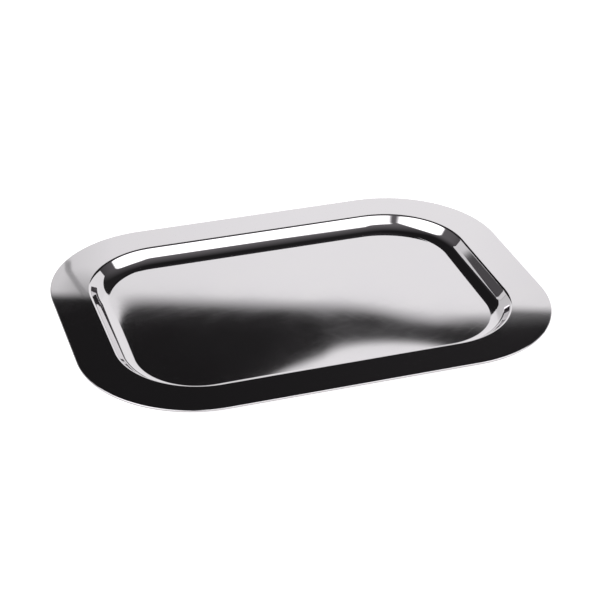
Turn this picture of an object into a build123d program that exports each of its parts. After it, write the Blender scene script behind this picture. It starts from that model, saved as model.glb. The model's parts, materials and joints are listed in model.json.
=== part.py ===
from build123d import *
import os
from math import cos, radians, sin, tan

# A shallow stainless steel counting tray: one pressed sheet with a wide flat rim and a round-cornered
# well, standing on four stick-on rubber feet. Millimetres. The origin is at the middle of the tray, on
# the surface that the feet stand on. +X runs along the tray's length and +Z points up out of the well.

# ---- driving dimensions ----
TRAY_LENGTH = 240.0
TRAY_WIDTH = 176.0
SHEET = 1.2
RIM_CORNER_RADIUS = 58.0
RIM_WIDTH = 18.8
EDGE_RADIUS = 0.4

WELL_CORNER_RADIUS = 42.0
WELL_DEPTH = 6.6
LIP_RADIUS = 1.6
COVE_RADIUS = 9.0
WALL_SLOPE = 50.0

FOOT_DIAMETER = 12.0
FOOT_HEIGHT = 2.0
FOOT_EDGE_RADIUS = 0.7
FOOT_SPACING_X = 150.0
FOOT_SPACING_Y = 84.0

# ---- heights ----
FLOOR_UNDER = FOOT_HEIGHT
FLOOR_TOP = FLOOR_UNDER + SHEET
RIM_TOP = FLOOR_TOP + WELL_DEPTH
RIM_UNDER = RIM_TOP - SHEET

# ---- the wall's section, from the rim inwards ----
# The lip bend turns the sheet down by WALL_SLOPE, a straight stretch follows, and the cove turns the
# sheet back to level. The straight stretch takes up what is left of the depth.
SLOPE = radians(WALL_SLOPE)
LIP_DROP = LIP_RADIUS * (1 - cos(SLOPE))
LIP_REACH = LIP_RADIUS * sin(SLOPE)
COVE_DROP = COVE_RADIUS * (1 - cos(SLOPE))
COVE_REACH = COVE_RADIUS * sin(SLOPE)
STRAIGHT_DROP = WELL_DEPTH - LIP_DROP - COVE_DROP
STRAIGHT_REACH = STRAIGHT_DROP / tan(SLOPE)
WALL_REACH = LIP_REACH + STRAIGHT_REACH + COVE_REACH


def rounded_plate(length, width, radius, bottom, top):
    """A flat plate with round corners, centred on the origin, between two heights."""
    outline = Plane.XY.offset(bottom) * RectangleRounded(length, width, radius)
    return extrude(outline, amount=top - bottom)


def wall_section():
    """The bent sheet in section: X is the reach inwards from the lip, Y is the height."""
    lip_centre = (0, RIM_TOP - LIP_RADIUS)
    cove_centre = (WALL_REACH, FLOOR_TOP + COVE_RADIUS)
    lip_outer = CenterArc(lip_centre, LIP_RADIUS, 90, -WALL_SLOPE)
    lip_inner = CenterArc(lip_centre, LIP_RADIUS - SHEET, 90, -WALL_SLOPE)
    cove_inner = CenterArc(cove_centre, COVE_RADIUS, 270 - WALL_SLOPE, WALL_SLOPE)
    cove_outer = CenterArc(cove_centre, COVE_RADIUS + SHEET, 270 - WALL_SLOPE, WALL_SLOPE)
    upper_wall = Line(lip_outer @ 1, cove_inner @ 0)
    lower_wall = Line(lip_inner @ 1, cove_outer @ 0)
    rim_end = Line(lip_outer @ 0, lip_inner @ 0)
    floor_end = Line(cove_inner @ 1, cove_outer @ 1)
    edges = [lip_outer, upper_wall, cove_inner, floor_end, cove_outer, lower_wall, lip_inner, rim_end]
    return make_face(edges)


def bent_wall():
    """The lip, wall and cove all round the well: four straight runs and four quarter turns."""
    section = wall_section()
    lip_x = TRAY_LENGTH / 2 - RIM_WIDTH
    lip_y = TRAY_WIDTH / 2 - RIM_WIDTH
    turn_x = lip_x - WELL_CORNER_RADIUS
    turn_y = lip_y - WELL_CORNER_RADIUS
    # Sides in order: the run's start point on the lip line, its direction, its length, and the
    # centre of the quarter turn that follows it.
    sides = [
        ((lip_x, -turn_y), (0, 1), 2 * turn_y, (turn_x, turn_y)),
        ((turn_x, lip_y), (-1, 0), 2 * turn_x, (-turn_x, turn_y)),
        ((-lip_x, turn_y), (0, -1), 2 * turn_y, (-turn_x, -turn_y)),
        ((-turn_x, -lip_y), (1, 0), 2 * turn_x, (turn_x, -turn_y)),
    ]
    pieces = []
    for start, along, run, turn in sides:
        inwards = (-along[1], along[0], 0)
        start_face = Plane(origin=(*start, 0), x_dir=inwards, z_dir=(*along, 0)) * section
        pieces.append(extrude(start_face, amount=run))
        end_face = Pos(along[0] * run, along[1] * run, 0) * start_face
        pieces.append(revolve(end_face, axis=Axis((*turn, 0), (0, 0, 1)), revolution_arc=90))
    return pieces


def tray_pan():
    """The whole pressed sheet: flat rim, bent wall and flat well floor."""
    well_length = TRAY_LENGTH - 2 * RIM_WIDTH
    well_width = TRAY_WIDTH - 2 * RIM_WIDTH
    blank = rounded_plate(TRAY_LENGTH, TRAY_WIDTH, RIM_CORNER_RADIUS, RIM_UNDER, RIM_TOP)
    mouth = rounded_plate(well_length, well_width, WELL_CORNER_RADIUS, RIM_UNDER, RIM_TOP)
    outer_edges = blank.edges().group_by(Axis.Z)
    rim = fillet(outer_edges[0] + outer_edges[-1], EDGE_RADIUS) - mouth
    floor = rounded_plate(
        well_length - 2 * WALL_REACH,
        well_width - 2 * WALL_REACH,
        WELL_CORNER_RADIUS - WALL_REACH,
        FLOOR_UNDER,
        FLOOR_TOP,
    )
    return rim + bent_wall() + floor


def foot(centre_x, centre_y):
    """A round rubber pad with its lower edge rounded, stuck to the underside of the well floor."""
    pad = Pos(centre_x, centre_y, 0) * Cylinder(
        FOOT_DIAMETER / 2, FOOT_HEIGHT, align=(Align.CENTER, Align.CENTER, Align.MIN)
    )
    return fillet(pad.edges().group_by(Axis.Z)[0], FOOT_EDGE_RADIUS)


parts = {"tray_pan": tray_pan()}
for end_name, end_sign in (("left", -1), ("right", 1)):
    for side_name, side_sign in (("front", -1), ("rear", 1)):
        foot_x = end_sign * FOOT_SPACING_X / 2
        foot_y = side_sign * FOOT_SPACING_Y / 2
        parts[f"foot_{side_name}_{end_name}"] = foot(foot_x, foot_y)

os.makedirs("parts", exist_ok=True)
for node, solid in parts.items():
    solid.label = node
    export_step(solid, f"parts/{node}.step")
    print(node, round(solid.volume, 1), solid.bounding_box())
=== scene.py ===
import json
import math

import bpy
from mathutils import Matrix, Vector


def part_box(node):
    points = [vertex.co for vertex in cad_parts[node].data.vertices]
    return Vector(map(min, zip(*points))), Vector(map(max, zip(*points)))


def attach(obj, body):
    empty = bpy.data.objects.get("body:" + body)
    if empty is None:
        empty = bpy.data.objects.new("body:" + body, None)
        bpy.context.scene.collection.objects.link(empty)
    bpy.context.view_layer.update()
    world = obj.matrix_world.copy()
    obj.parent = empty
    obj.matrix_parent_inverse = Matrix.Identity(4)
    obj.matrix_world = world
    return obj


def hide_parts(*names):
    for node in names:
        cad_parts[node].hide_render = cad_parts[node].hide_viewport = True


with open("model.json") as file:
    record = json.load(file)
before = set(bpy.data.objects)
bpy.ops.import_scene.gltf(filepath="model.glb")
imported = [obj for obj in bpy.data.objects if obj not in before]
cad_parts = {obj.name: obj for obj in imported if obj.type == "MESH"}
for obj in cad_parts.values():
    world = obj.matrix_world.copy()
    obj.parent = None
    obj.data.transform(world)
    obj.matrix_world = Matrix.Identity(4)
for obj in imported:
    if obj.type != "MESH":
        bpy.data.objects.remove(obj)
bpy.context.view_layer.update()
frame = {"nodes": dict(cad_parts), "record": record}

MM = 0.001

# ---- the tray's sizes, from the frame where it has them ----
PAN_LOW, PAN_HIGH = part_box("tray_pan")
MOUNTS = {mount["name"]: mount for mount in frame["record"]["mounts"]}
HALF_LENGTH = PAN_HIGH.x
HALF_WIDTH = PAN_HIGH.y
RIM_TOP = PAN_HIGH.z
FLOOR_TOP = MOUNTS["well_floor"]["pos_m"][2]
SHEET = FLOOR_TOP - PAN_LOW.z
RIM_WIDTH = 18.8 * MM
RIM_CORNER = 58 * MM
WELL_CORNER = 42 * MM
EDGE_RADIUS = 0.4 * MM
LIP_RADIUS = 1.6 * MM
COVE_RADIUS = 9 * MM
WALL_SLOPE = math.radians(50)

# ---- how the pressed floor departs from flat, in millimetres and degrees ----
# A thin sheet never comes off the press dead flat, and a mirror finish shows it. The shapes run a little
# askew across the floor: a lane keeps its name while it drifts by LANE_DRIFT of the way to the front.
LANE_DRIFT = 0.37

# A shallow trough crosses the floor. Its line comes forwards lane by lane, and faster past the elbow.
TROUGH_SLOPE = 0.20
TROUGH_WIDTH = 24.0
TROUGH_START = 1.5
TROUGH_DRIFT = 0.33
TROUGH_ELBOW = 30
TROUGH_ELBOW_DRIFT = 0.2
TROUGH_ELBOW_BEND = 4
TROUGH_REAR_BEND = 8
TROUGH_FRONT_BEND = 15
TROUGH_LEAN_LEFT = -0.12
TROUGH_LEAN_RIGHT = 0.14
TROUGH_LEAN_LANES = (24, 78)

# The front curls up, and past BOW_TURN each lane starts later and curls faster than the one before.
BOW_RATE = 0.00055
BOW_START = 6.5
BOW_TURN = 15.0
BOW_DELAY = 0.61
BOW_HASTE = 0.04
BOW_SPREAD = 41.0

# The left end rises to meet its cove, and less so towards the corners.
END_RISE_SLOPE = 1.6
END_RISE_LENGTH = 4.0
END_RISE_LOSS = 0.62
END_RISE_FADE = (8, 46)

# ---- the camera: angles from the tray's front and from level, in metres where it is a length ----
CAMERA_SIDE = math.radians(-18.36)
CAMERA_RISE = math.radians(30.58)
CAMERA_ROLL = 0.0080
CAMERA_AWAY = 0.8411
CAMERA_AIM = Vector((-1.68 * MM, -7.04 * MM, RIM_TOP))
CAMERA_LENS = 100.63
SENSOR_WIDTH = 36

# ---- how finely the pan is divided ----
CORNER_STEPS = 40
LONG_SIDE_STEPS = 48
SHORT_SIDE_STEPS = 28
EDGE_STEPS = 6
RIM_STEPS = 10
LIP_STEPS = 10
WALL_STEPS = 4
COVE_STEPS = 22
FLOOR_STEPS = 44


# ---------------------------------------------------------------- the pan

def wall_reach():
    """How far the lip, wall and cove reach inwards, all together."""
    depth = RIM_TOP - FLOOR_TOP
    turned_drop = (LIP_RADIUS + COVE_RADIUS) * (1 - math.cos(WALL_SLOPE))
    straight_reach = (depth - turned_drop) / math.tan(WALL_SLOPE)
    return (LIP_RADIUS + COVE_RADIUS) * math.sin(WALL_SLOPE) + straight_reach


def ring(half_x, half_y, corner, height, lean_in, lean_up):
    """One round-cornered loop of points at a height, each with its normal: lean_in points inwards."""
    points = []
    sides = [
        (1, 0, half_x, half_y - corner, SHORT_SIDE_STEPS),
        (0, 1, half_y, half_x - corner, LONG_SIDE_STEPS),
        (-1, 0, half_x, half_y - corner, SHORT_SIDE_STEPS),
        (0, -1, half_y, half_x - corner, LONG_SIDE_STEPS),
    ]
    for out_x, out_y, reach, half_run, steps in sides:
        along_x, along_y = -out_y, out_x
        start_angle = math.atan2(out_y, out_x)
        for step in range(steps):
            run = half_run * (2 * step / steps - 1)
            place = (out_x * reach + along_x * run, out_y * reach + along_y * run, height)
            points.append((place, (-out_x * lean_in, -out_y * lean_in, lean_up)))
        turn_x = out_x * (reach - corner) + along_x * half_run
        turn_y = out_y * (reach - corner) + along_y * half_run
        for step in range(CORNER_STEPS):
            angle = start_angle + math.pi / 2 * step / CORNER_STEPS
            cos_a, sin_a = math.cos(angle), math.sin(angle)
            place = (turn_x + corner * cos_a, turn_y + corner * sin_a, height)
            points.append((place, (-cos_a * lean_in, -sin_a * lean_in, lean_up)))
    return points


def inset_ring(inset, height, lean_in, lean_up):
    """A loop that lies inset from the rim's outer edge. The rim's corners tighten towards the well."""
    if inset <= EDGE_RADIUS:
        corner = RIM_CORNER - inset
    elif inset <= RIM_WIDTH:
        share = (inset - EDGE_RADIUS) / (RIM_WIDTH - EDGE_RADIUS)
        corner = (RIM_CORNER - EDGE_RADIUS) * (1 - share) + WELL_CORNER * share
    else:
        corner = WELL_CORNER - (inset - RIM_WIDTH)
    return ring(HALF_LENGTH - inset, HALF_WIDTH - inset, corner, height, lean_in, lean_up)


def face_rings(upper):
    """The loops of one face of the sheet, from the rim's edge inwards to the floor's middle."""
    side = 1 if upper else -1
    edge_mid = RIM_TOP - SHEET / 2
    edge_turn = SHEET / 2 - EDGE_RADIUS
    lip_mid = RIM_TOP - LIP_RADIUS
    cove_mid = FLOOR_TOP + COVE_RADIUS
    lip = LIP_RADIUS if upper else LIP_RADIUS - SHEET
    cove = COVE_RADIUS if upper else COVE_RADIUS + SHEET
    face = RIM_TOP if upper else RIM_TOP - SHEET
    floor = FLOOR_TOP if upper else FLOOR_TOP - SHEET
    cove_end = RIM_WIDTH + wall_reach()
    rings = []
    for step in range(EDGE_STEPS + 1):
        angle = math.pi / 2 * step / EDGE_STEPS
        inset = EDGE_RADIUS * (1 - math.cos(angle))
        height = edge_mid + side * (edge_turn + EDGE_RADIUS * math.sin(angle))
        rings.append(inset_ring(inset, height, -math.cos(angle), side * math.sin(angle)))
    for step in range(1, RIM_STEPS + 1):
        inset = EDGE_RADIUS + (RIM_WIDTH - EDGE_RADIUS) * step / RIM_STEPS
        rings.append(inset_ring(inset, face, 0, side))
    for step in range(1, LIP_STEPS + 1):
        angle = WALL_SLOPE * step / LIP_STEPS
        inset = RIM_WIDTH + lip * math.sin(angle)
        height = lip_mid + lip * math.cos(angle)
        rings.append(inset_ring(inset, height, side * math.sin(angle), side * math.cos(angle)))
    wall_top = (RIM_WIDTH + lip * math.sin(WALL_SLOPE), lip_mid + lip * math.cos(WALL_SLOPE))
    wall_foot = (cove_end - cove * math.sin(WALL_SLOPE), cove_mid - cove * math.cos(WALL_SLOPE))
    for step in range(1, WALL_STEPS):
        share = step / WALL_STEPS
        inset = wall_top[0] * (1 - share) + wall_foot[0] * share
        height = wall_top[1] * (1 - share) + wall_foot[1] * share
        rings.append(inset_ring(inset, height, side * math.sin(WALL_SLOPE), side * math.cos(WALL_SLOPE)))
    for step in range(COVE_STEPS + 1):
        angle = WALL_SLOPE * (1 - step / COVE_STEPS)
        inset = cove_end - cove * math.sin(angle)
        height = cove_mid - cove * math.cos(angle)
        rings.append(inset_ring(inset, height, side * math.sin(angle), side * math.cos(angle)))
    floor_x, floor_y = HALF_LENGTH - cove_end, HALF_WIDTH - cove_end
    floor_corner = WELL_CORNER - wall_reach()
    for step in range(1, FLOOR_STEPS):
        share = 1 - step / FLOOR_STEPS
        rings.append(ring(floor_x * share, floor_y * share, floor_corner * share, floor, 0, side))
    return rings


def eased(value, start, end):
    """0 before start and 1 after end, with a smooth rise between."""
    share = min(1.0, max(0.0, (value - start) / (end - start)))
    return share * share * (3 - 2 * share)


def hinge(distance, softness):
    """0 before a bend and the distance past it, turned smoothly."""
    return (distance + math.hypot(distance, softness)) / 2


def trough(lane, ahead):
    """A shallow trough across the floor: down towards its line and up again towards the front."""
    past_elbow = hinge(lane - TROUGH_ELBOW, TROUGH_ELBOW_BEND)
    line = TROUGH_START + TROUGH_DRIFT * lane + TROUGH_ELBOW_DRIFT * past_elbow
    lean = TROUGH_LEAN_LEFT + (TROUGH_LEAN_RIGHT - TROUGH_LEAN_LEFT) * eased(lane, *TROUGH_LEAN_LANES)
    down = math.radians(lean - TROUGH_SLOPE) * hinge(ahead - line + TROUGH_WIDTH, TROUGH_REAR_BEND)
    return down + math.radians(2 * TROUGH_SLOPE) * hinge(ahead - line, TROUGH_FRONT_BEND)


def front_bow(lane, ahead):
    """The floor curls up towards its front edge, later and faster towards the right."""
    beyond = max(0.0, lane - BOW_TURN)
    start = BOW_START + BOW_DELAY * beyond
    rate = BOW_RATE * (1 + BOW_HASTE * beyond) * math.exp(-min(0.0, lane) ** 2 / (2 * BOW_SPREAD**2))
    return math.radians(rate) * max(0.0, ahead - start) ** 3 / 3


def end_rise(x, y):
    """The floor starts to rise a little before it meets the left wall's cove."""
    inside = x / MM - (wall_reach() + RIM_WIDTH - HALF_LENGTH) / MM
    fade = 1 - END_RISE_LOSS * eased(abs(y) / MM, *END_RISE_FADE)
    return math.radians(END_RISE_SLOPE) * END_RISE_LENGTH * fade * math.exp(-inside / END_RISE_LENGTH)


def floor_lift(x, y):
    """How far the floor stands above its plain level: under half a millimetre anywhere."""
    ahead = -y / MM
    lane = x / MM + LANE_DRIFT * ahead
    along_lane = math.hypot(1, LANE_DRIFT)
    return (along_lane * (trough(lane, ahead) + front_bow(lane, ahead)) + end_rise(x, y)) * MM


def well_share(x, y):
    """0 on the rim and 1 on the well's floor, eased across the wall."""
    turn_x = HALF_LENGTH - RIM_WIDTH - WELL_CORNER
    turn_y = HALF_WIDTH - RIM_WIDTH - WELL_CORNER
    over_x, over_y = abs(x) - turn_x, abs(y) - turn_y
    if over_x > 0 and over_y > 0:
        inside = WELL_CORNER - math.hypot(over_x, over_y)
    else:
        inside = WELL_CORNER - max(over_x, over_y)
    return eased(inside, 0, wall_reach())


def shift(x, y):
    """What the pressed sheet's height differs from the plain shape by."""
    return floor_lift(x, y) * well_share(x, y)


def bent(place, normal):
    """A point and its normal after the sheet's bow is added."""
    x, y, z = place
    near = 0.05 * MM
    slope_x = (shift(x + near, y) - shift(x - near, y)) / (2 * near)
    slope_y = (shift(x, y + near) - shift(x, y - near)) / (2 * near)
    turned = Vector((normal[0] - slope_x * normal[2], normal[1] - slope_y * normal[2], normal[2]))
    return (x, y, z + shift(x, y)), turned.normalized()


def build_pan(material):
    """The pressed sheet as one closed mesh with exact normals, so that its mirror finish stays clean."""
    top_rings = face_rings(True)
    under_rings = face_rings(False)
    count = len(top_rings[0])
    loops = list(reversed(under_rings)) + top_rings
    places, normals, faces = [], [], []
    for loop in loops:
        for place, normal in loop:
            moved, turned = bent(place, normal)
            places.append(moved)
            normals.append(turned)
    for row in range(len(loops) - 1):
        for step in range(count):
            here, after = row * count + step, row * count + (step + 1) % count
            faces.append((here, after, after + count, here + count))
    for loop_start, height, side in ((0, PAN_LOW.z, -1), (len(places) - count, FLOOR_TOP, 1)):
        middle = len(places)
        moved, turned = bent((0, 0, height), (0, 0, side))
        places.append(moved)
        normals.append(turned)
        for step in range(count):
            here, after = loop_start + step, loop_start + (step + 1) % count
            faces.append((here, after, middle) if side > 0 else (after, here, middle))
    mesh = bpy.data.meshes.new("tray_pan_polished")
    mesh.from_pydata(places, [], faces)
    mesh.validate()
    mesh.polygons.foreach_set("use_smooth", [True] * len(mesh.polygons))
    mesh.normals_split_custom_set_from_vertices(normals)
    pan = bpy.data.objects.new("tray_pan_polished", mesh)
    bpy.context.scene.collection.objects.link(pan)
    mesh.materials.append(material)
    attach(pan, "root")
    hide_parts("tray_pan")
    return pan


# ---------------------------------------------------------------- materials

def linear(hex_colour):
    """An sRGB hex colour as linear red, green, blue and alpha."""
    channels = [int(hex_colour[i:i + 2], 16) / 255 for i in (1, 3, 5)]
    bent_down = [c / 12.92 if c <= 0.04045 else ((c + 0.055) / 1.055) ** 2.4 for c in channels]
    return (*bent_down, 1.0)


def add(tree, kind, settings=None, inputs=None, links=None):
    """Adds a node: its settings, its sockets' values and the nodes or sockets that feed it."""
    node = tree.nodes.new(kind)
    for name, value in (settings or {}).items():
        setattr(node, name, value)
    for name, value in (inputs or {}).items():
        node.inputs[name].default_value = value
    for name, source in (links or {}).items():
        socket = source.outputs[0] if isinstance(source, bpy.types.Node) else source
        tree.links.new(socket, node.inputs[name])
    return node


def new_material(name):
    """An empty node material and its tree."""
    material = bpy.data.materials.new(name)
    material.use_nodes = True
    material.node_tree.nodes.clear()
    return material, material.node_tree


def polished_stainless():
    """Cold-rolled stainless steel, pressed and then buffed to a mirror. The eye gets a dark or a bright
    picture of the room, a little softer down in the well where the mop reaches less well, with
    faint buffing lines along the tray, cloudy wipe marks and fine hairlines from use."""
    material, tree = new_material("polished_stainless_steel")
    place = add(tree, "ShaderNodeTexCoord").outputs["Object"]
    height = add(tree, "ShaderNodeSeparateXYZ", links={"Vector": place}).outputs["Z"]
    # Wipe marks, 28 mm by 18 mm.
    wiped = add(tree, "ShaderNodeMapping", {"vector_type": "TEXTURE"}, {
        "Rotation": (0, 0, math.radians(20)), "Scale": (28 * MM, 18 * MM, 18 * MM)}, {"Vector": place})
    clouds = add(tree, "ShaderNodeTexNoise", inputs={"Scale": 1.0, "Detail": 3.0}, links={"Vector": wiped})
    # Buffing lines, 14 mm long and 0.5 mm apart.
    buffed = add(tree, "ShaderNodeMapping", {"vector_type": "TEXTURE"}, {
        "Scale": (14 * MM, 0.5 * MM, 0.5 * MM)}, {"Vector": place})
    buffing = add(tree, "ShaderNodeTexNoise", inputs={"Scale": 1.0}, links={"Vector": buffed})
    # Hairlines, in three directions: their length and spacing in millimetres, and their angle.
    hairlines = []
    for length, spacing, angle in ((26, 0.35, 33), (18, 0.30, -58), (34, 0.40, 8)):
        laid = add(tree, "ShaderNodeMapping", {"vector_type": "TEXTURE"}, {
            "Rotation": (0, 0, math.radians(angle)), "Scale": (length * MM, spacing * MM, spacing * MM)}, {
            "Vector": place})
        streaks = add(tree, "ShaderNodeTexNoise", inputs={
            "Scale": 1.0, "Detail": 0.0}, links={"Vector": laid})
        hairlines.append(add(tree, "ShaderNodeMapRange", inputs={
            "From Min": 0.70, "From Max": 0.80}, links={"Value": streaks}))
    two_ways = add(tree, "ShaderNodeMath", {"operation": "ADD"}, links={0: hairlines[0], 1: hairlines[1]})
    worn = add(tree, "ShaderNodeMath", {"operation": "ADD"}, links={0: two_ways, 1: hairlines[2]})
    # The well is the rougher part; clouds, buffing and hairlines each add a share of their own.
    by_height = add(tree, "ShaderNodeMapRange", inputs={
        "From Min": FLOOR_TOP + 2 * MM, "From Max": RIM_TOP - MM,
        "To Min": 0.0186, "To Max": 0.0126}, links={"Value": height})
    clouded = add(tree, "ShaderNodeMath", {"operation": "MULTIPLY_ADD"}, {1: 0.0233}, {
        0: clouds, 2: by_height})
    lined = add(tree, "ShaderNodeMath", {"operation": "MULTIPLY_ADD"}, {1: 0.0075}, {
        0: buffing, 2: clouded})
    roughness = add(tree, "ShaderNodeMath", {"operation": "MULTIPLY_ADD"}, {1: 0.012}, {0: worn, 2: lined})
    tint = add(tree, "ShaderNodeMix", {"data_type": "RGBA"}, {
        "A": linear("#e0dddf"), "B": linear("#dedbdf")}, {"Factor": clouds})
    lines = add(tree, "ShaderNodeBump", inputs={"Strength": 1.0, "Distance": 0.00005 * MM}, links={
        "Height": buffing})
    marks = add(tree, "ShaderNodeBump", {"invert": True}, {"Strength": 1.0, "Distance": 0.00002 * MM}, {
        "Height": worn, "Normal": lines})
    shader = add(tree, "ShaderNodeBsdfPrincipled", inputs={"Metallic": 1.0}, links={
        "Base Color": tint.outputs["Result"], "Roughness": roughness, "Normal": marks})
    add(tree, "ShaderNodeOutputMaterial", links={"Surface": shader})
    return material


def foot_rubber():
    """Black rubber, moulded in a bead-blasted die. The eye gets a dull, slightly mottled black with a
    fine pebble grain, drawn at 0.5 mm so that it shows, and paler scuffs on the face that stands."""
    material, tree = new_material("moulded_rubber")
    place = add(tree, "ShaderNodeTexCoord").outputs["Object"]
    height = add(tree, "ShaderNodeSeparateXYZ", links={"Vector": place}).outputs["Z"]
    pebbles = add(tree, "ShaderNodeTexVoronoi", inputs={"Scale": 1 / (0.5 * MM)}, links={"Vector": place})
    mottle = add(tree, "ShaderNodeTexNoise", inputs={
        "Scale": 1 / (3 * MM), "Detail": 4.0}, links={"Vector": place})
    # Scuffs, 4 mm long and 0.4 mm apart, only where the foot stands.
    dragged = add(tree, "ShaderNodeMapping", {"vector_type": "TEXTURE"}, {
        "Rotation": (0, 0, math.radians(40)), "Scale": (4 * MM, 0.4 * MM, 0.4 * MM)}, {"Vector": place})
    scuffs = add(tree, "ShaderNodeTexNoise", inputs={"Scale": 1.0}, links={"Vector": dragged})
    marked = add(tree, "ShaderNodeMapRange", inputs={
        "From Min": 0.45, "From Max": 0.7}, links={"Value": scuffs})
    standing = add(tree, "ShaderNodeMapRange", inputs={
        "From Min": 0.05 * MM, "From Max": 0.7 * MM, "To Min": 1.0, "To Max": 0.0}, links={"Value": height})
    scuffed = add(tree, "ShaderNodeMath", {"operation": "MULTIPLY"}, links={0: standing, 1: marked})
    tint = add(tree, "ShaderNodeMix", {"data_type": "RGBA"}, {
        "A": linear("#1f1f22"), "B": linear("#2b2b2e")}, {"Factor": mottle})
    rubbed = add(tree, "ShaderNodeMix", {"data_type": "RGBA"}, {"B": linear("#4a4947")}, {
        "Factor": scuffed, "A": tint.outputs["Result"]})
    dull = add(tree, "ShaderNodeMapRange", inputs={
        "From Min": 0.3, "From Max": 0.7, "To Min": 0.62, "To Max": 0.74}, links={"Value": mottle})
    roughness = add(tree, "ShaderNodeMath", {"operation": "MULTIPLY_ADD"}, {1: 0.12}, {0: scuffed, 2: dull})
    grain = add(tree, "ShaderNodeBump", inputs={"Strength": 0.6, "Distance": 0.05 * MM}, links={
        "Height": pebbles.outputs["Distance"]})
    shader = add(tree, "ShaderNodeBsdfPrincipled", links={
        "Base Color": rubbed.outputs["Result"], "Roughness": roughness, "Normal": grain})
    add(tree, "ShaderNodeOutputMaterial", links={"Surface": shader})
    return material


# ---------------------------------------------------------------- studio

def round_off(outline, passes=3):
    """A closed outline with its corners cut again and again until they run round."""
    for _ in range(passes):
        cut = []
        for here, after in zip(outline, outline[1:] + outline[:1]):
            cut.append(tuple(0.75 * a + 0.25 * b for a, b in zip(here, after)))
            cut.append(tuple(0.25 * a + 0.75 * b for a, b in zip(here, after)))
        outline = cut
    return outline


def spread(outline, distance):
    """An outline, listed anticlockwise, moved outwards by a distance."""
    moved = []
    for before, here, after in zip(outline[-1:] + outline[:-1], outline, outline[1:] + outline[:1]):
        along = Vector(after) - Vector(before)
        out = Vector((along.y, -along.x)).normalized()
        moved.append(tuple(Vector(here) + out * distance))
    return moved


def glow(name, strength):
    """Diffused light: even over the cloth and fading out over its soft border."""
    material, tree = new_material(name)
    cover = add(tree, "ShaderNodeAttribute", {"attribute_name": "cover"})
    fade = add(tree, "ShaderNodeMapRange", {"interpolation_type": "SMOOTHSTEP"},
               {"To Max": strength}, {"Value": cover.outputs["Fac"]})
    light = add(tree, "ShaderNodeEmission", links={"Strength": fade})
    clear = add(tree, "ShaderNodeBsdfTransparent")
    both = add(tree, "ShaderNodeMixShader", links={"Fac": cover.outputs["Fac"], 1: clear, 2: light})
    add(tree, "ShaderNodeOutputMaterial", links={"Surface": both})
    return material


def stage_mesh(name, corners, faces, material):
    """A mesh that belongs to the studio and not to the tray."""
    mesh = bpy.data.meshes.new(name)
    mesh.from_pydata(corners, [], faces)
    mesh.materials.append(material)
    obj = bpy.data.objects.new(name, mesh)
    bpy.context.scene.collection.objects.link(obj)
    return obj


def card(name, outline, soft, material, place):
    """A glowing card with a soft border, seen in the steel and not by the camera."""
    count = len(outline)
    corners = list(outline) + spread(outline, soft)
    faces = [tuple(range(count))]
    for step in range(count):
        after = (step + 1) % count
        faces.append((step, step + count, after + count, after))
    obj = stage_mesh(name, [place(*corner) for corner in corners], faces, material)
    cover = obj.data.attributes.new("cover", "FLOAT", "POINT")
    cover.data.foreach_set("value", [1.0] * count + [0.0] * count)
    obj.visible_camera = False
    obj.visible_shadow = False
    return obj


def overhead(height):
    """Places a card's points level above the tray, where they are given in heights."""
    return lambda x, y: (x * height, y * height, height)


def upright(azimuth, distance):
    """Places a card's points on a wall: azimuth 0 stands beyond the tray along +Y."""
    a = math.radians(azimuth)
    out, along = (math.sin(a), math.cos(a)), (math.cos(a), -math.sin(a))
    return lambda x, y: (out[0] * distance + along[0] * x, out[1] * distance + along[1] * x, y)


# Strengths of the lights, and where the backdrop, the overhead boxes and the table are, in metres.
BACKDROP = 1.0
BACKDROP_SIDE = 22
BACKDROP_AWAY = 1.493
SOFTBOX = 2.2
BOX_HEIGHT = 1.2
BOX_BORDER = 0.14
TABLE_REACH = 6.0
TABLE_DIM = 0.4
TABLE_BRIGHT = 0.9
ROOM_TINT = (1.0, 0.96, 1.0, 1)

# The backdrop's cloth, the seam and the fold in it, and a streak of light beside its left end: along, up.
CLOTH = [(-1.56, -0.3), (2.3, -0.3), (2.3, 0.87), (-0.50, 0.8997), (-0.60, 0.865), (-0.80, 0.85),
         (-1.0, 0.80), (-1.56, 0.86)]
SEAM = [(-0.4542, 0.843), (-0.4498, 0.843), (-0.4500, 0.860), (-0.4380, 0.883), (-0.4265, 0.902),
        (-0.4305, 0.902), (-0.4425, 0.883), (-0.4548, 0.860)]
CLOTH_BORDER = 0.0141
SEAM_BORDER = 0.004
FOLD_BORDER = 0.055
STREAK_BORDER = 0.02
FOLD = [(0.19, 0.5), (2.3, 0.5), (2.3, 0.88), (0.32, 0.901), (0.215, 0.914), (0.19, 0.90)]
STREAK = [(0.05, -0.3), (0.2, -0.3), (0.22, 0.78), (0.12, 0.78), (0.04, 0.444)]

# How bright the cloth is along its length, from CLOTH_LEFT rightwards, and how it darkens to SHADE_LEVEL
# within SHADE_REACH of the seam's top.
CLOTH_LEFT = -0.58
CLOTH_STOPS = [(0.0, 0.68), (0.13, 0.80), (0.20, 0.94), (0.48, 1.0), (0.74, 1.0), (0.86, 0.94)]
SEAM_TOP = (-0.425, 0.905)
SHADE_CORE = 0.01
SHADE_REACH = 0.05
SHADE_LEVEL = 0.6

# Two boxes overhead, with a narrow dark gap between them: across and along, for a height of 1.
LEFT_BOX = [(-0.445, -1.5), (-0.445, -0.4), (-0.47, 0.04), (-0.62, 0.33), (-0.86, 0.50), (-1.63, 0.73),
            (-2.6, 0.96), (-2.6, -1.5)]
REAR_BOX = [(-0.17, -1.6), (2.37, -1.6), (2.27, -0.62), (1.74, -0.26), (1.10, -0.06), (0.83, -0.09),
            (0.62, -0.17), (0.44, -0.28), (0.35, -0.47), (0.0, -0.48), (-0.17, -0.49)]

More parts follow.
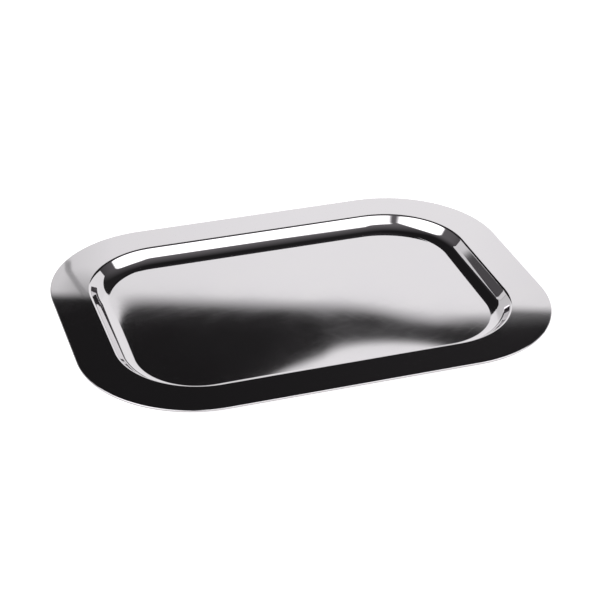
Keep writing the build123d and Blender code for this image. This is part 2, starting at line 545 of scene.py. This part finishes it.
# Low flats round the table: how far each reaches left, right and up, its strength, and where it stands.
FLATS = [
    ("left_flat", -1.2, 1.2, 0.55, 0.8, -100, 1.6),
    ("right_flat", -1.3, 1.5, 0.5, 0.8, 118, 2.0),
    ("front_flat", -1.8, 1.8, 0.6, 0.9, 202, 2.0),
]
FLAT_FOOT = -0.3
FLAT_BORDER = 0.03


def backdrop_cloth():
    """The pale cloth behind the tray. Its light falls away towards the left end and beside the seam."""
    material, tree = new_material("backdrop_cloth")
    reach = add(tree, "ShaderNodeAttribute", {"attribute_name": "reach"})
    cover = add(tree, "ShaderNodeAttribute", {"attribute_name": "cover"})
    fall = add(tree, "ShaderNodeValToRGB", links={"Fac": reach.outputs["Fac"]})
    while len(fall.color_ramp.elements) < len(CLOTH_STOPS):
        fall.color_ramp.elements.new(0.5)
    for stop, (position, level) in zip(fall.color_ramp.elements, CLOTH_STOPS):
        stop.position = position
        stop.color = (level, level, level, 1)
    place = add(tree, "ShaderNodeTexCoord").outputs["Object"]
    seam_top = upright(BACKDROP_SIDE, BACKDROP_AWAY)(*SEAM_TOP)
    beside = add(tree, "ShaderNodeVectorMath", {"operation": "DISTANCE"}, {1: seam_top}, {0: place})
    shade = add(tree, "ShaderNodeMapRange", inputs={
        "From Min": SHADE_CORE, "From Max": SHADE_REACH,
        "To Min": SHADE_LEVEL * BACKDROP, "To Max": BACKDROP}, links={"Value": beside.outputs["Value"]})
    light = add(tree, "ShaderNodeEmission", links={"Color": fall, "Strength": shade})
    clear = add(tree, "ShaderNodeBsdfTransparent")
    both = add(tree, "ShaderNodeMixShader", links={"Fac": cover.outputs["Fac"], 1: clear, 2: light})
    add(tree, "ShaderNodeOutputMaterial", links={"Surface": both})
    return material


def backdrop():
    """The cloth's card. Each of its corners also knows how far along the cloth it is."""
    obj = card("backdrop", CLOTH, CLOTH_BORDER, backdrop_cloth(), upright(BACKDROP_SIDE, BACKDROP_AWAY))
    reach = obj.data.attributes.new("reach", "FLOAT", "POINT")
    away = Vector(upright(BACKDROP_SIDE, 0)(1, 0))
    reach.data.foreach_set("value", [v.co.dot(away) - CLOTH_LEFT for v in obj.data.vertices])


def studio_cards():
    """All that glows round the tray: the cloth, two overhead boxes, a streak and three low flats."""
    backdrop()
    # The seam lies just in front of the cloth, and the fold hangs a little behind it.
    card("backdrop_seam", SEAM, SEAM_BORDER, glow("seam_cloth", 0.36), upright(BACKDROP_SIDE, 1.490))
    card("backdrop_fold", FOLD, FOLD_BORDER, glow("fold_cloth", 0.24), upright(BACKDROP_SIDE, 1.520))
    for side, outline in (("left", LEFT_BOX), ("rear", REAR_BOX)):
        diffuser = glow(side + "_diffuser", SOFTBOX)
        card(side + "_softbox", round_off(outline), BOX_BORDER, diffuser, overhead(BOX_HEIGHT))
    card("left_streak", STREAK, STREAK_BORDER, glow("left_gap_light", 0.78), upright(-32, 1.5))
    for name, left, right, top, strength, azimuth, away in FLATS:
        outline = [(left, FLAT_FOOT), (right, FLAT_FOOT), (right, top), (left, top)]
        card(name, outline, FLAT_BORDER, glow(name + "_cloth", strength), upright(azimuth, away))


def studio_world():
    """White to the eye, and a dark room with a little light overhead and to the left in the steel."""
    world = bpy.data.worlds.new("studio")
    bpy.context.scene.world = world
    world.use_nodes = True
    tree = world.node_tree
    tree.nodes.clear()
    place = add(tree, "ShaderNodeTexCoord").outputs["Generated"]
    split = add(tree, "ShaderNodeSeparateXYZ", links={"Vector": place})
    overhead_fade = add(tree, "ShaderNodeMapRange", inputs={
        "From Min": 0.45, "From Max": -0.3, "To Min": 0.0135, "To Max": 0.15},
        links={"Value": split.outputs["Y"]})
    left_fade = add(tree, "ShaderNodeMapRange", {"interpolation_type": "SMOOTHSTEP"}, {
        "From Min": -0.28, "From Max": -0.75, "To Min": 0.0, "To Max": 0.12}, {"Value": split.outputs["X"]})
    right_fade = add(tree, "ShaderNodeMapRange", inputs={
        "From Min": 0.20, "From Max": 0.36, "To Min": 0.0, "To Max": 0.006},
        links={"Value": split.outputs["X"]})
    left = add(tree, "ShaderNodeMath", {"operation": "ADD"}, links={0: overhead_fade, 1: left_fade})
    total = add(tree, "ShaderNodeMath", {"operation": "ADD"}, links={0: left, 1: right_fade})
    room = add(tree, "ShaderNodeBackground", inputs={"Color": ROOM_TINT}, links={"Strength": total})
    page = add(tree, "ShaderNodeBackground", inputs={"Color": (1, 1, 1, 1), "Strength": 1.0})
    seen = add(tree, "ShaderNodeLightPath").outputs["Is Camera Ray"]
    both = add(tree, "ShaderNodeMixShader", links={"Fac": seen, 1: room, 2: page})
    add(tree, "ShaderNodeOutputWorld", links={"Surface": both})


def table_top():
    """A white table, lit so evenly that it all but vanishes. The steel sees it dimmer than the eye does."""
    material, tree = new_material("pale_table")
    matt = add(tree, "ShaderNodeBsdfDiffuse", inputs={"Color": (0.5, 0.5, 0.5, 1)})
    seen = add(tree, "ShaderNodeLightPath").outputs["Is Camera Ray"]
    level = add(tree, "ShaderNodeMapRange", inputs={"To Min": TABLE_DIM, "To Max": TABLE_BRIGHT}, links={
        "Value": seen})
    light = add(tree, "ShaderNodeEmission", links={"Strength": level})
    both = add(tree, "ShaderNodeAddShader", links={0: matt, 1: light})
    add(tree, "ShaderNodeOutputMaterial", links={"Surface": both})
    corners = [(x * TABLE_REACH, y * TABLE_REACH, 0) for x, y in ((-1, -1), (1, -1), (1, 1), (-1, 1))]
    stage_mesh("table_top", corners, [(0, 1, 2, 3)], material)


def camera():
    """Looks down on the tray from the front and a little to its left."""
    back = Vector((math.sin(CAMERA_SIDE) * math.cos(CAMERA_RISE),
                   -math.cos(CAMERA_SIDE) * math.cos(CAMERA_RISE), math.sin(CAMERA_RISE)))
    right = (-back).cross(Vector((0, 0, 1))).normalized()
    up = right.cross(-back)
    rolled_right = math.cos(CAMERA_ROLL) * right + math.sin(CAMERA_ROLL) * up
    rolled_up = -math.sin(CAMERA_ROLL) * right + math.cos(CAMERA_ROLL) * up
    data = bpy.data.cameras.new("camera")
    data.lens = CAMERA_LENS
    data.sensor_width = SENSOR_WIDTH
    obj = bpy.data.objects.new("camera", data)
    bpy.context.scene.collection.objects.link(obj)
    turn = Matrix((rolled_right, rolled_up, back)).transposed().to_4x4()
    obj.matrix_world = Matrix.Translation(CAMERA_AIM + back * CAMERA_AWAY) @ turn
    bpy.context.scene.camera = obj


steel = polished_stainless()
rubber = foot_rubber()
build_pan(steel)
for name, node in frame["nodes"].items():
    if name.startswith("foot_"):
        node.data.materials.clear()
        node.data.materials.append(rubber)
studio_world()
studio_cards()
table_top()
camera()
bpy.context.scene.view_settings.view_transform = "Standard"
